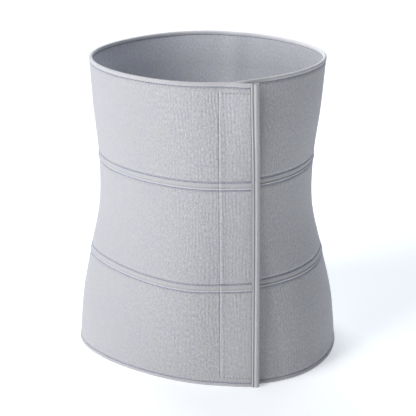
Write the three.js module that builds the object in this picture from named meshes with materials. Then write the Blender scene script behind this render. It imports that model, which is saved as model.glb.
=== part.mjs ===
// Abdominal binder: an elastic wrap of three panels standing as an open tube, its end lapped over the front.
// Millimetres, +Z up, front towards -Y. Each named mesh is one closed solid of cloth.
import * as THREE from "three";

// Overall sizes
const LOWER_PANEL_HEIGHT = 103;
const WAIST_PANEL_HEIGHT = 102;
const UPPER_PANEL_HEIGHT = 100;
const WAIST_HALF_WIDTH = 105.5;
const WAIST_HALF_DEPTH = 86;
const GAP = 0.3;

// Half sizes of the level section as shares of the waist's, from the hem up to the top in equal steps.
// skew deepens the front towards the wearer's left; left and right slim the section towards each side;
// lean moves it sideways, in millimetres.
const SECTIONS = [
  { width: 1.253, depth: 1.198, skew: 0.197, left: 0.044, right: -0.019, lean: 1.18 },
  { width: 1.205, depth: 1.171, skew: 0.076, left: 0.244, right: -0.031, lean: 0.87 },
  { width: 1.106, depth: 1.131, skew: 0.012, left: 0.346, right: -0.019, lean: -0.19 },
  { width: 1.008, depth: 1.069, skew: 0.06, left: 0.225, right: 0.045, lean: -0.68 },
  { width: 1.002, depth: 1.005, skew: 0.122, left: 0.071, right: 0.112, lean: -0.21 },
  { width: 1.047, depth: 0.966, skew: 0.082, left: 0.049, right: 0.139, lean: 0.68 },
  { width: 1.076, depth: 0.933, skew: -0.001, left: 0.12, right: 0.162, lean: 1.45 },
];

// Cloth: the wall, its thickness where a binding pinches it, and how far bindings and bands stand proud of it
const WALL = 2.6;
const PINCHED_WALL = 1.2;
const PROUD = 0.4;

// Edge bindings, narrower along the two rims than up the two ends, and seam bands
const END_BINDING_WIDTH = 6.8;
const RIM_BINDING_WIDTH = 4.8;
const BINDING_FOLD = 0.9;
const BAND_HEIGHT = 9.4;
const BAND_CHAMFER = 0.5;

// The two ends: where they stop across the front, and how the layers pass each other there
const UNDER_END_X = -22;
const FLAP_END_TOP_X = 48;
const FLAP_END_HEM_X = 51.8;
const UNDER_SINK = 4.1;
const LAP_SWELL = 3.3;
const CORNER_FLARE = 4.9;
const UNDER_DROOP = 3.6;

// Hidden hook strip behind the flap, and how far it stops short of both rims
const HOOK_WIDTH = 30.3;
const HOOK_THICKNESS = 1.2;
const HOOK_MARGIN = 7.5;

// Soft upright fold in the back wall
const FOLD_X = 27.5;
const FOLD_DEPTH = 1.3;
const FOLD_HALF_WIDTH = 10;

// Lengths of the eased stretches, as turns in radians round the section
const RISE_TURN = 0.55;
const RISE_LEAD = 0.2;
const SINK_TURN = 0.52;
const SWELL_TURN = 0.33;
const FLARE_TURN = 0.33;
const DROOP_TURN = 0.36;

// Shares of the height where the flap's flare, the under end's droop and the back fold begin
const FLARE_START = 0.7;
const DROOP_START = 0.4;
const FOLD_START = 0.3;

// Fineness of the meshes
const COLUMNS = 68;
const SIDE_CROWDING = 0.018;
const HOOK_COLUMNS = 4;

// Colours
const PANEL_COLOR = 0xc4c7cb;
const BAND_COLOR = 0xb4b8be;
const BINDING_COLOR = 0xb9bdc3;
const HOOK_COLOR = 0x6f737a;
const CLOTH_ROUGHNESS = 0.9;

// Worked out from the sizes above
const LOWER_SEAM_LEVEL = LOWER_PANEL_HEIGHT;
const UPPER_SEAM_LEVEL = LOWER_SEAM_LEVEL + WAIST_PANEL_HEIGHT;
const HEIGHT = UPPER_SEAM_LEVEL + UPPER_PANEL_HEIGHT;
const PINCHED_OUTER = (PINCHED_WALL - WALL) / 2;
const PINCHED_INNER = -(PINCHED_WALL + WALL) / 2;
const LAP_DEPTH = WALL / 2;
const PANEL_TUCK = BINDING_FOLD + GAP;
const SIDE_MARGIN = END_BINDING_WIDTH + GAP;
const FLAP_RISE = WALL + PROUD + HOOK_THICKNESS + 3 * GAP - UNDER_SINK;
const HOOK_OUTER = -WALL - 1.5 * GAP;
const HOOK_INNER = HOOK_OUTER - HOOK_THICKNESS;
const FRONT_TURN = Math.PI / 2;

/** Eases from 0 at the low value to 1 at the high value. */
function ease(value, low, high) {
  const share = Math.min(Math.max((value - low) / (high - low), 0), 1);
  return share * share * (3 - 2 * share);
}

/** One column of SECTIONS at a level, along a smooth curve through the rows. */
function sectionValue(column, level) {
  const last = SECTIONS.length - 1;
  const place = Math.min(Math.max((level / HEIGHT) * last, 0), last - 1e-9);
  const row = Math.floor(place);
  const along = place - row;
  const at = (index) => {
    if (index < 0) return 2 * SECTIONS[0][column] - SECTIONS[1][column];
    if (index > last) return 2 * SECTIONS[last][column] - SECTIONS[last - 1][column];
    return SECTIONS[index][column];
  };
  const before = at(row - 1);
  const from = at(row);
  const to = at(row + 1);
  const after = at(row + 2);
  const slope = (to - before) * along;
  const bend = (2 * before - 5 * from + 4 * to - after) * along ** 2;
  const twist = (-before + 3 * from - 3 * to + after) * along ** 3;
  return 0.5 * (2 * from + slope + bend + twist);
}

/** The plain section's outline: turn 0 is the right side, a quarter turn the back, a half the left side. */
function outline(turn, level) {
  const across = Math.cos(turn);
  const around = Math.sin(turn);
  const halfWidth = WAIST_HALF_WIDTH * sectionValue("width", level);
  const halfDepth = WAIST_HALF_DEPTH * sectionValue("depth", level);
  const slim = sectionValue(across < 0 ? "left" : "right", level);
  const skew = around < 0 ? 1 + sectionValue("skew", level) * across : 1;
  const x = halfWidth * across + sectionValue("lean", level);
  return [x, halfDepth * around * (1 - slim * across * across) * skew];
}

/** A point so far outside the plain outline, square to it. */
function offsetPoint(turn, level, offset) {
  const step = 1e-3;
  const [x, y] = outline(turn, level);
  const [aheadX, aheadY] = outline(turn + step, level);
  const [behindX, behindY] = outline(turn - step, level);
  const alongX = aheadX - behindX;
  const alongY = aheadY - behindY;
  const length = Math.hypot(alongX, alongY);
  return new THREE.Vector3(x + (alongY / length) * offset, y - (alongX / length) * offset, level);
}

/** The turn where the lapped front, or the layer under it, stands at a given x. */
function turnAtX(x, level, isFlap) {
  const fromMiddle = x - sectionValue("lean", level);
  const aside = Math.asin(fromMiddle / (WAIST_HALF_WIDTH * sectionValue("width", level)));
  return (isFlap ? 3 * FRONT_TURN : -FRONT_TURN) + aside;
}

/** The flap's free end across the front at a level. */
function flapEndX(level) {
  return FLAP_END_HEM_X + (FLAP_END_TOP_X - FLAP_END_HEM_X) * (level / HEIGHT);
}

/**
 * How far the wrapped cloth stands off the plain section: the under layer sinks in, the flap rises over it,
 * and both swell out towards the flap's free end.
 */
function standOff(turn, level) {
  const riseEnd = turnAtX(UNDER_END_X, level, true) + RISE_LEAD;
  const flapEnd = turnAtX(flapEndX(level), level, true);
  const sinkStart = turnAtX(flapEndX(level), level, false);
  const foldTurn = FRONT_TURN - Math.asin(FOLD_X / WAIST_HALF_WIDTH);
  const foldSpread = FOLD_HALF_WIDTH / WAIST_HALF_WIDTH;
  const rise = FLAP_RISE * ease(turn, riseEnd - RISE_TURN, riseEnd);
  const sunken = 1 - ease(turn, sinkStart, sinkStart + SINK_TURN);
  const swellUnder = ease(turn, sinkStart - SWELL_TURN, sinkStart) * sunken;
  const swell = LAP_SWELL * (swellUnder + ease(turn, flapEnd - SWELL_TURN, flapEnd));
  const cornerShare = ease(turn, flapEnd - FLARE_TURN, flapEnd) * ease(level, FLARE_START * HEIGHT, HEIGHT);
  const foldAcross = (turn - foldTurn) / foldSpread;
  const foldShare = Math.exp(-(foldAcross ** 2)) * ease(level, FOLD_START * HEIGHT, HEIGHT);
  return rise - UNDER_SINK * sunken + swell + CORNER_FLARE * cornerShare - FOLD_DEPTH * foldShare;
}

/** A point of the wrapped cloth, whose under end droops towards its top corner behind the flap. */
function wrapPoint(turn, level, offset) {
  const droopEnd = turnAtX(flapEndX(level), level, false);
  const droopAcross = 1 - ease(turn, droopEnd - DROOP_TURN, droopEnd);
  const droopShare = droopAcross * ease(level, DROOP_START * HEIGHT, HEIGHT);
  const point = offsetPoint(turn, level, offset + standOff(turn, level));
  point.z -= UNDER_DROOP * droopShare;
  return point;
}

/** How far along a chain of flat points each one lies, from 0 to 1. */
function chainShares(chain) {
  const lengths = chain.map((point, index) =>
    index === 0 ? 0 : Math.hypot(point[0] - chain[index - 1][0], point[1] - chain[index - 1][1]),
  );
  let run = 0;
  const runs = lengths.map((length) => (run += length));
  return runs.map((value) => value / run);
}

/** Triangles that close one end of a loop, zipped between its outer chain and its inner chain. */
function capFaces({ outer, inner }) {
  const count = outer.length + inner.length;
  const outerShares = chainShares(outer);
  const innerShares = chainShares(inner);
  const faces = [];
  let i = 0;
  let j = 0;
  while (i + 1 < outer.length || j + 1 < inner.length) {
    const isOuterNext = j + 1 === inner.length || (outerShares[i + 1] ?? 2) <= innerShares[j + 1];
    const innerHere = count - 1 - j;
    faces.push(isOuterNext ? [i, i + 1, innerHere] : [i, innerHere - 1, innerHere]);
    if (isOuterNext) i += 1;
    else j += 1;
  }
  return faces;
}

/** The closed loop of a profile: its outer chain, then its inner chain backwards. */
function loopOf({ outer, inner }) {
  return [...outer, ...[...inner].reverse()];
}

/** Joins loops of equally many points into one closed mesh, and closes both ends. */
function loftMesh(name, color, loops, profile) {
  const count = loops[0].length;
  const positions = [];
  for (const loop of loops) for (const point of loop) positions.push(point.x, point.y, point.z);
  const faces = [];
  for (let ring = 0; ring + 1 < loops.length; ring++) {
    for (let k = 0; k < count; k++) {
      const here = ring * count + k;
      const next = ring * count + ((k + 1) % count);
      faces.push([here, next, next + count], [here, next + count, here + count]);
    }
  }
  const lastRing = (loops.length - 1) * count;
  for (const [a, b, c] of capFaces(profile)) {
    faces.push([a, c, b], [lastRing + a, lastRing + b, lastRing + c]);
  }
  const geometry = new THREE.BufferGeometry();
  geometry.setAttribute("position", new THREE.Float32BufferAttribute(positions, 3));
  geometry.setIndex(facesOutward(positions, faces).flat());
  geometry.computeVertexNormals();
  const mesh = new THREE.Mesh(geometry, new THREE.MeshStandardMaterial({ color, roughness: CLOTH_ROUGHNESS }));
  mesh.name = name;
  return mesh;
}

/** Turns all faces round if together they enclose a negative volume. */
function facesOutward(positions, faces) {
  const corner = (index) => new THREE.Vector3().fromArray(positions, 3 * index);
  let volume = 0;
  for (const [a, b, c] of faces) volume += corner(a).dot(corner(b).cross(corner(c)));
  return volume < 0 ? faces.map(([a, b, c]) => [a, c, b]) : faces;
}

/** Shares along the wrap, closer together round the two sides, where the section bends most. */
function columnShares(count) {
  return Array.from({ length: count + 1 }, (_, column) => {
    const share = column / count;
    return share - SIDE_CROWDING * Math.sin(4 * Math.PI * share);
  });
}

/** Sweeps a profile of [offset, level] points round the wrap, from one end's margin to the other's. */
function wrapSolid(name, color, profile, margin, pinchEnds) {
  const stations = columnShares(COLUMNS).map((share) => ({ share, inset: margin, pinched: false }));
  if (pinchEnds) {
    const tucked = [PANEL_TUCK, END_BINDING_WIDTH + GAP];
    stations.unshift(...tucked.map((inset) => ({ share: 0, inset, pinched: true })));
    stations.push(...tucked.reverse().map((inset) => ({ share: 1, inset, pinched: true })));
  }
  const middle = -WALL / 2;
  const loops = stations.map(({ share, inset, pinched }) =>
    loopOf(profile).map(([offset, level]) => {
      const start = turnAtX(UNDER_END_X + inset, level, false);
      const end = turnAtX(flapEndX(level) - inset, level, true);
      const thin = pinched ? middle + ((offset - middle) * PINCHED_WALL) / WALL : offset;
      return wrapPoint(start + (end - start) * share, level, thin);
    }),
  );
  return loftMesh(name, color, loops, profile);
}

/** Inner rows of a panel between two levels. */
function rowLevels(low, high) {
  return [1, 2, 3].map((row) => low + ((high - low) * row) / 4);
}

/** Profile of a panel; each edge is either lapped under a seam band or tucked into a binding. */
function panelProfile(low, high) {
  const edge = (level, up) => {
    const isRim = level === 0 || level === HEIGHT;
    const tip = level + up * (isRim ? PANEL_TUCK : GAP / 2);
    const shoulder = level + up * ((isRim ? RIM_BINDING_WIDTH : BAND_HEIGHT / 2) + GAP);
    const slopeEnd = shoulder + up * 2 * GAP;
    const outerDepth = isRim ? PINCHED_OUTER : -LAP_DEPTH;
    return {
      outer: [[outerDepth, tip], [outerDepth, shoulder], [0, slopeEnd]],
      inner: isRim ? [[PINCHED_INNER, tip], [PINCHED_INNER, shoulder], [-WALL, slopeEnd]] : [[-WALL, tip]],
    };
  };
  const bottom = edge(low, 1);
  const top = edge(high, -1);
  const rows = rowLevels(low, high);
  return {
    outer: [...bottom.outer, ...rows.map((level) => [0, level]), ...top.outer.reverse()],
    inner: [...bottom.inner, ...rows.map((level) => [-WALL, level]), ...top.inner.reverse()],
  };
}

/** Folded binding seen end on, as [offset, reach]: reach runs from the fold towards the cloth, up to width. */
function bindingShape(width) {
  const innerFace = -WALL - PROUD;
  const channelOuter = PINCHED_OUTER + GAP;
  const channelInner = PINCHED_INNER - GAP;
  return {
    outer: [
      [PROUD, width],
      [PROUD, BINDING_FOLD],
      [channelOuter, 0],
      [channelInner, 0],
      [innerFace, BINDING_FOLD],
      [innerFace, width],
    ],
    inner: [
      [channelOuter, width],
      [channelOuter, BINDING_FOLD],
      [channelInner, BINDING_FOLD],
      [channelInner, width],
    ],
  };
}

/** Flat band sewn over a lapped seam. */
function bandProfile(level) {
  const half = BAND_HEIGHT / 2;
  return {
    outer: [
      [0, level - half],
      [PROUD, level - half + BAND_CHAMFER],
      [PROUD, level + half - BAND_CHAMFER],
      [0, level + half],
    ],
    inner: [
      [-LAP_DEPTH + GAP, level - half],
      [-LAP_DEPTH + GAP, level + half],
    ],
  };
}

/** All levels at which an upright piece has a row, so that it follows the panels' rows. */
function uprightLevels(low, high) {
  const seams = [0, LOWER_SEAM_LEVEL, UPPER_SEAM_LEVEL, HEIGHT];
  const inside = [];
  for (let panel = 0; panel < 3; panel++) {
    inside.push(...rowLevels(seams[panel], seams[panel + 1]), seams[panel + 1]);
  }
  return [low, ...inside.filter((level) => level > low + GAP && level < high - GAP), high];
}

/** Sweeps a folded binding up one end of the wrap. */
function endBinding(name, color, isFlap) {
  const shape = bindingShape(END_BINDING_WIDTH);
  const loops = uprightLevels(0, HEIGHT).map((level) =>
    loopOf(shape).map(([offset, reach]) => {
      const x = isFlap ? flapEndX(level) - reach : UNDER_END_X + reach;
      return wrapPoint(turnAtX(x, level, isFlap), level, offset);
    }),
  );
  return loftMesh(name, color, loops, shape);
}

/** Plain strip between the flap and the layer under it. */
function hookStrip(name, color) {
  const shares = Array.from({ length: HOOK_COLUMNS + 1 }, (_, column) => column / HOOK_COLUMNS);
  const section = {
    outer: shares.map((share) => [HOOK_OUTER, share]),
    inner: shares.map((share) => [HOOK_INNER, share]),
  };
  const loops = uprightLevels(HOOK_MARGIN, HEIGHT - HOOK_MARGIN).map((level) => {
    const end = flapEndX(level) - END_BINDING_WIDTH - 2 * GAP;
    return loopOf(section).map(([offset, share]) => {
      const x = end + HOOK_WIDTH * (share - 1);
      return wrapPoint(turnAtX(x, level, true), level, offset);
    });
  });
  return loftMesh(name, color, loops, section);
}

/** A binding round the hem or the top rim. */
function rimBinding(name, color, isTop) {
  const turned = (chain) => chain.map(([offset, reach]) => [offset, isTop ? HEIGHT - reach : reach]);
  const { outer, inner } = bindingShape(RIM_BINDING_WIDTH);
  return wrapSolid(name, color, { outer: turned(outer), inner: turned(inner) }, SIDE_MARGIN, false);
}

const panelMargin = SIDE_MARGIN + 2 * GAP;
const pieces = [
  wrapSolid("lower_panel", PANEL_COLOR, panelProfile(0, LOWER_SEAM_LEVEL), panelMargin, true),
  wrapSolid("waist_panel", PANEL_COLOR, panelProfile(LOWER_SEAM_LEVEL, UPPER_SEAM_LEVEL), panelMargin, true),
  wrapSolid("upper_panel", PANEL_COLOR, panelProfile(UPPER_SEAM_LEVEL, HEIGHT), panelMargin, true),
  wrapSolid("lower_seam_band", BAND_COLOR, bandProfile(LOWER_SEAM_LEVEL), SIDE_MARGIN, false),
  wrapSolid("upper_seam_band", BAND_COLOR, bandProfile(UPPER_SEAM_LEVEL), SIDE_MARGIN, false),
  rimBinding("hem_binding", BINDING_COLOR, false),
  rimBinding("top_binding", BINDING_COLOR, true),
  endBinding("flap_end_binding", BINDING_COLOR, true),
  endBinding("under_end_binding", BINDING_COLOR, false),
  hookStrip("hook_strip", HOOK_COLOR),
];

// The origin is the middle of the lowest level of the whole object.
const binder = new THREE.Group();
binder.name = "abdominal_binder";
binder.add(...pieces);
const box = new THREE.Box3().setFromObject(binder);
const middle = box.getCenter(new THREE.Vector3());
for (const piece of pieces) piece.position.set(-middle.x, -middle.y, -box.min.z);

export default binder;
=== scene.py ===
"""Looks of an abdominal binder: an elastic wrap of three panels, standing as an open tube.

Every surface is worked out in the wrap's own coordinates and then placed in space by Wrap.place:
along (metres round the wrap from the under end to the flap's free end), level (metres above the
hem) and offset (metres out of the plain outer face; the inner face lies at minus WALL).
"""
import logging
import math
from collections.abc import Callable
from dataclasses import dataclass, field
from enum import Enum

import bpy
import numpy as np
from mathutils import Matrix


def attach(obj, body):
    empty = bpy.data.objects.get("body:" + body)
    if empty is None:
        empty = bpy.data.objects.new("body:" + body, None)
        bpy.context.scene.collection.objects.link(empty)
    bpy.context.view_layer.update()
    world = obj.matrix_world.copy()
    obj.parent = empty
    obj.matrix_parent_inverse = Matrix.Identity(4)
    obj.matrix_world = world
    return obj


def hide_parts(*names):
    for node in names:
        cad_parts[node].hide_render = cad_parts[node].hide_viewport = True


Array = np.ndarray
MM = 0.001
log = logging.getLogger("binder")

# Sizes shared by the sub-assemblies: the CAD part's, with the end bindings and the hook strip
# fitted a little closer to the photo
LOWER_SEAM = 103 * MM
UPPER_SEAM = 205 * MM
HEIGHT = 305 * MM
WALL = 2.6 * MM
PINCHED_WALL = 1.2 * MM
PROUD = 0.4 * MM
END_WIDTH = 7.2 * MM
RIM_WIDTH = 4.8 * MM
BAND_HALF = 4.7 * MM
SEAM_STITCH = 3.7 * MM
HOOK_WIDTH = 30.2 * MM
CREVICE = 0.15 * MM
END_MARGIN = END_WIDTH + CREVICE

# A fold between faces shows as an edge from this angle on
SHARP_ANGLE = math.radians(50)
# At the scale 1 / (WAVE_SCALE * pitch) a wave texture has one wave to two pitches
WAVE_SCALE = 6.4


class Layer(Enum):
    """Which layer of the lapped front a point lies in, as the turn where its front stands."""

    UNDER = -math.pi / 2
    FLAP = 3 * math.pi / 2


class Run(Enum):
    """Which way a line of stitches runs."""

    ROUND = "round"
    UPRIGHT = "upright"


def ease(value: Array, low: Array | float, high: Array | float) -> Array:
    """Eases from 0 at low to 1 at high: three times the square of the share less twice its cube.

    Args:
        value: Where to read the curve.
        low: Value with the result 0.
        high: Value with the result 1.

    Returns:
        Shares from 0 to 1.
    """
    share = np.clip((value - low) / (high - low), 0, 1)
    return share * share * (3 - 2 * share)


def bump(value: Array, middle: Array | float, half: float) -> Array:
    """A rounded hump: 1 at the middle, 0 beyond half a width to each side, as a squared cosine.

    Args:
        value: Where to read the curve.
        middle: Where the hump is highest.
        half: Half the hump's width.

    Returns:
        Heights from 0 to 1.
    """
    share = np.clip(np.abs(value - middle) / half, 0, 1)
    return np.cos(share * math.pi / 2) ** 2


class LatticeNoise:
    """Smooth noise from seeded random values on a lattice of cells, eased between its corners."""

    SIDE = 1024

    def __init__(self, seed: int, wide: float, tall: float) -> None:
        """Draws the lattice.

        Args:
            seed: Seed of the random values.
            wide: Width of a cell.
            tall: Height of a cell.
        """
        self.values = np.random.default_rng(seed).uniform(-1, 1, (self.SIDE, self.SIDE))
        self.wide = wide
        self.tall = tall

    def read(self, across: Array, up: Array) -> Array:
        """Noise at points: each cell blends its four corners by eased shares of the way over it.

        Args:
            across: First coordinates.
            up: Second coordinates.

        Returns:
            Values from -1 to 1.
        """
        x = np.asarray(across) / self.wide + self.SIDE
        y = np.asarray(up) / self.tall + self.SIDE
        column = np.floor(x).astype(int)
        row = np.floor(y).astype(int)
        fx = ease(x - column, 0, 1)
        fy = ease(y - row, 0, 1)
        left, right = column % self.SIDE, (column + 1) % self.SIDE
        low, high = row % self.SIDE, (row + 1) % self.SIDE
        lower = self.values[left, low] * (1 - fx) + self.values[right, low] * fx
        upper = self.values[left, high] * (1 - fx) + self.values[right, high] * fx
        return lower * (1 - fy) + upper * fy


@dataclass
class Section:
    """The plain outline at each level: half sizes, a skewed front, slimmed sides and a lean in mm."""

    half_width: float = 105.5 * MM
    half_depth: float = 86 * MM
    width: tuple[float, ...] = (1.253, 1.205, 1.106, 1.008, 1.002, 1.047, 1.076)
    depth: tuple[float, ...] = (1.198, 1.171, 1.131, 1.069, 1.005, 0.966, 0.933)
    skew: tuple[float, ...] = (0.197, 0.076, 0.012, 0.06, 0.122, 0.082, -0.001)
    left: tuple[float, ...] = (0.044, 0.244, 0.346, 0.225, 0.071, 0.049, 0.12)
    right: tuple[float, ...] = (-0.019, -0.031, -0.019, 0.045, 0.112, 0.139, 0.162)
    lean: tuple[float, ...] = (1.18, 0.87, -0.19, -0.68, -0.21, 0.68, 1.45)

    def value(self, column: tuple[float, ...], level: Array) -> Array:
        """One column at some levels, on a smooth cubic through its rows and straight on at its ends.

        Args:
            column: Values at equal steps from the hem to the top.
            level: Heights above the hem.

        Returns:
            The column's values there.
        """
        rows = np.array([2 * column[0] - column[1], *column, 2 * column[-1] - column[-2]])
        last = len(column) - 1
        place = np.clip(np.asarray(level) / HEIGHT * last, 0, last - 1e-9)
        row = np.floor(place).astype(int)
        along = place - row
        before, start, end, after = rows[row], rows[row + 1], rows[row + 2], rows[row + 3]
        slope = (end - before) * along
        bend = (2 * before - 5 * start + 4 * end - after) * along**2
        twist = (-before + 3 * start - 3 * end + after) * along**3
        return 0.5 * (2 * start + slope + bend + twist)

    def outline(self, turn: Array, level: Array) -> tuple[Array, Array]:
        """The outline: an ellipse slimmed by the squared cosine, its front deepened by the skew.

        Args:
            turn: Turns round the section, 0 at the right side and a quarter turn at the back.
            level: Heights above the hem.

        Returns:
            The x and y of each point.
        """
        across, around = np.cos(turn), np.sin(turn)
        left, right = self.value(self.left, level), self.value(self.right, level)
        slim = np.where(across < 0, left, right)
        skew = np.where(around < 0, 1 + self.value(self.skew, level) * across, 1)
        x = self.half_width * self.value(self.width, level) * across + self.value(self.lean, level) * MM
        depth = self.half_depth * self.value(self.depth, level)
        return x, depth * around * (1 - slim * across**2) * skew

    def offset_point(self, turn: Array, level: Array, offset: Array) -> tuple[Array, Array]:
        """A point moved out of the outline by the offset, square to it in plan.

        Args:
            turn: Turns round the section.
            level: Heights above the hem.
            offset: Distances outwards.

        Returns:
            The x and y of each point.
        """
        step = 1e-3
        x, y = self.outline(turn, level)
        ahead_x, ahead_y = self.outline(turn + step, level)
        behind_x, behind_y = self.outline(turn - step, level)
        run_x, run_y = ahead_x - behind_x, ahead_y - behind_y
        length = np.hypot(run_x, run_y)
        return x + run_y / length * offset, y - run_x / length * offset


@dataclass
class Wrap:
    """The wrapped cloth: where its ends stop, how its layers pass and how a point of it is placed."""

    section: Section = field(default_factory=Section)
    under_end_x: float = -22 * MM
    flap_end_top_x: float = 48 * MM
    flap_end_hem_x: float = 51.1 * MM
    under_sink: float = 4.1 * MM
    flap_rise: float = 1.0 * MM
    lap_swell: float = 3.3 * MM
    corner_flare: float = 4.9 * MM
    corner_tuck: float = 2.6 * MM
    under_droop: float = 3.6 * MM
    flap_sag: float = 0.8 * MM
    fold_x: float = 27.5 * MM
    fold_depth: float = 1.3 * MM
    fold_half: float = 10 * MM
    rise_turn: float = 0.55
    rise_lead: float = 0.2
    sink_turn: float = 0.52
    swell_turn: float = 0.33
    flare_turn: float = 0.33
    droop_turn: float = 0.36
    droop_start: float = 0.4
    flare_start: float = 0.7
    fold_start: float = 0.3
    steady_flap: float = 44 * MM
    steady_under: float = 9 * MM
    lap: float = 84 * MM
    wave: float = 0.45 * MM
    wave_fade: float = 60 * MM
    wave_cell: tuple[float, float] = (46 * MM, 74 * MM)
    # Painted shade on the under layer beside the flap's edge: how much darker, and where it fades out
    flap_shade: float = 0.12
    flap_shade_from: float = 1 * MM
    flap_shade_to: float = 10 * MM
    length_samples: int = 4001
    hem_samples: int = 2001
    hem_full: float = 0.9 * MM

    def __post_init__(self) -> None:
        """Measures the wrap's length round the middle level and the CAD origin's place."""
        self.waves = LatticeNoise(11, *self.wave_cell)
        level = np.full(self.length_samples, HEIGHT / 2)
        first, last = self.steady_span(level)
        self.share_table = np.linspace(0, 1, len(level))
        turns = first + (last - first) * self.share_table
        x, y = self.section.offset_point(turns, level, self.stand_off(turns, level))
        steps = np.hypot(np.diff(x), np.diff(y))
        self.along_table = np.concatenate([[0], np.cumsum(steps)])
        self.length = self.steady_under + self.along_table[-1] + self.steady_flap
        around = np.linspace(END_WIDTH, self.length - END_WIDTH, self.hem_samples)
        around, levels = np.meshgrid(around, [self.hem_full, RIM_WIDTH])
        hem_turns = self.turns(around, levels)
        stand = self.stand_off(hem_turns, levels) + PROUD
        hem = np.array(self.section.offset_point(hem_turns, levels, stand))
        self.middle = (hem.min((1, 2)) + hem.max((1, 2))) / 2

    def steady_span(self, level: Array) -> tuple[Array, Array]:
        """The turns between which the wrap is shared out evenly, away from both of its ends."""
        first = self.turn_at(self.under_end_x + self.steady_under, level, Layer.UNDER)
        return first, self.turn_at(self.flap_end(level) - self.steady_flap, level, Layer.FLAP)

    def turn_at(self, x: Array, level: Array, layer: Layer) -> Array:
        """The turn where a layer's front stands at some x: its front turn plus the arcsine.

        Args:
            x: Places across the front.
            level: Heights above the hem.
            layer: The layer meant.

        Returns:
            Turns in radians.
        """
        half = self.section.half_width * self.section.value(self.section.width, level)
        lean = self.section.value(self.section.lean, level) * MM
        return layer.value + np.arcsin(np.clip((x - lean) / half, -1, 1))

    def flap_end(self, level: Array) -> Array:
        """Where the flap's free end stands across the front: a straight line, tucked at its top."""
        line = self.flap_end_hem_x + (self.flap_end_top_x - self.flap_end_hem_x) * level / HEIGHT
        return line - self.tuck(level)

    def tuck(self, level: Array) -> Array:
        """How far the flap's top corner is drawn back, which makes up for its flare."""
        return self.corner_tuck * ease(level, self.flare_start * HEIGHT, HEIGHT)

    def shade(self, along: Array, level: Array) -> Array:
        """Painted shade on the under layer: about an eighth darker beside the flap's edge, in the flap's
        shade.

        Args:
            along: Distances round the wrap.
            level: Heights above the hem.

        Returns:
            Factors on the colour.
        """
        edge = self.flap_end(level) - self.under_end_x
        return 1 - self.flap_shade + self.flap_shade * ease(along, edge + self.flap_shade_from, edge + self.flap_shade_to)

    def stand_off(self, turn: Array, level: Array) -> Array:
        """How far the cloth stands off the plain outline.

        The flap rises by eased steps over the under layer, which sinks in below it, both swell out
        towards the flap's free end, the flap's top corner flares, and a bell curve across the back
        folds in towards the top.

        Args:
            turn: Turns round the section.
            level: Heights above the hem.

        Returns:
            Distances outwards.
        """
        rise_end = self.turn_at(self.under_end_x, level, Layer.FLAP) + self.rise_lead
        flap_end = self.turn_at(self.flap_end(level), level, Layer.FLAP)
        sink_start = self.turn_at(self.flap_end(level), level, Layer.UNDER)
        fold_turn = math.pi / 2 - math.asin(self.fold_x / self.section.half_width)
        fold_spread = self.fold_half / self.section.half_width
        rise = self.flap_rise * ease(turn, rise_end - self.rise_turn, rise_end)
        recover = 1 - ease(turn, sink_start, sink_start + self.sink_turn)
        swell_under = ease(turn, sink_start - self.swell_turn, sink_start) * recover
        swell = self.lap_swell * (swell_under + ease(turn, flap_end - self.swell_turn, flap_end))
        corner = ease(turn, flap_end - self.flare_turn, flap_end)
        corner = corner * ease(level, self.flare_start * HEIGHT, HEIGHT)
        fold = np.exp(-(((turn - fold_turn) / fold_spread) ** 2))
        fold = fold * ease(level, self.fold_start * HEIGHT, HEIGHT)
        lapped = rise - self.under_sink * recover + swell
        return lapped + self.corner_flare * corner - self.fold_depth * fold

    def turns(self, along: Array, level: Array) -> Array:
        """The turn of each point: steady distances in x near both ends, shares of the turn between.

        Args:
            along: Distances round the wrap.
            level: Heights above the hem.

        Returns:
            Turns in radians.
        """
        from_end = self.length - along
        first, last = self.steady_span(level)
        share = np.interp(along - self.steady_under, self.along_table, self.share_table)
        between = first + (last - first) * share
        by_flap = self.turn_at(self.flap_end(level) - from_end, level, Layer.FLAP)
        by_under = self.turn_at(self.under_end_x + along, level, Layer.UNDER)
        chosen = np.where(from_end < self.steady_flap, by_flap, between)
        return np.where(along < self.steady_under, by_under, chosen)

    def place(self, along: Array, level: Array, offset: Array) -> Array:
        """Places points of the wrap in space, in the CAD frame.

        The point stands off the outline by its offset, the layers' stand-off and a slow wave of the
        cloth that fades out where the layers lap, and both ends droop a little towards their tops.

        Args:
            along: Distances round the wrap.
            level: Heights above the hem.
            offset: Distances out of the plain outer face.

        Returns:
            Points, with x, y and z on the last axis.
        """
        along, level, offset = np.broadcast_arrays(along, level, offset)
        turn = self.turns(along, level)
        fade = ease(along, self.lap, self.lap + self.wave_fade)
        fade = fade * (1 - ease(along, self.length - self.lap - self.wave_fade, self.length - self.lap))
        wave = self.wave * fade * self.waves.read(along, level)
        x, y = self.section.offset_point(turn, level, offset + self.stand_off(turn, level) + wave)
        return np.stack([x - self.middle[0], y - self.middle[1], level - self.droop(turn, level)], -1)

    def droop(self, turn: Array, level: Array) -> Array:
        """How far the two ends droop: most at their top corners, eased out round the wrap.

        Args:
            turn: Turns round the section.
            level: Heights above the hem.

        Returns:
            Distances downwards.
        """
        end = self.turn_at(self.flap_end(level), level, Layer.UNDER)
        under = self.under_droop * (1 - ease(turn, end - self.droop_turn, end))
        flap_end = end + Layer.FLAP.value - Layer.UNDER.value
        flap = self.flap_sag * ease(turn, flap_end - self.droop_turn, flap_end)
        return (under + flap) * ease(level, self.droop_start * HEIGHT, HEIGHT)


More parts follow.
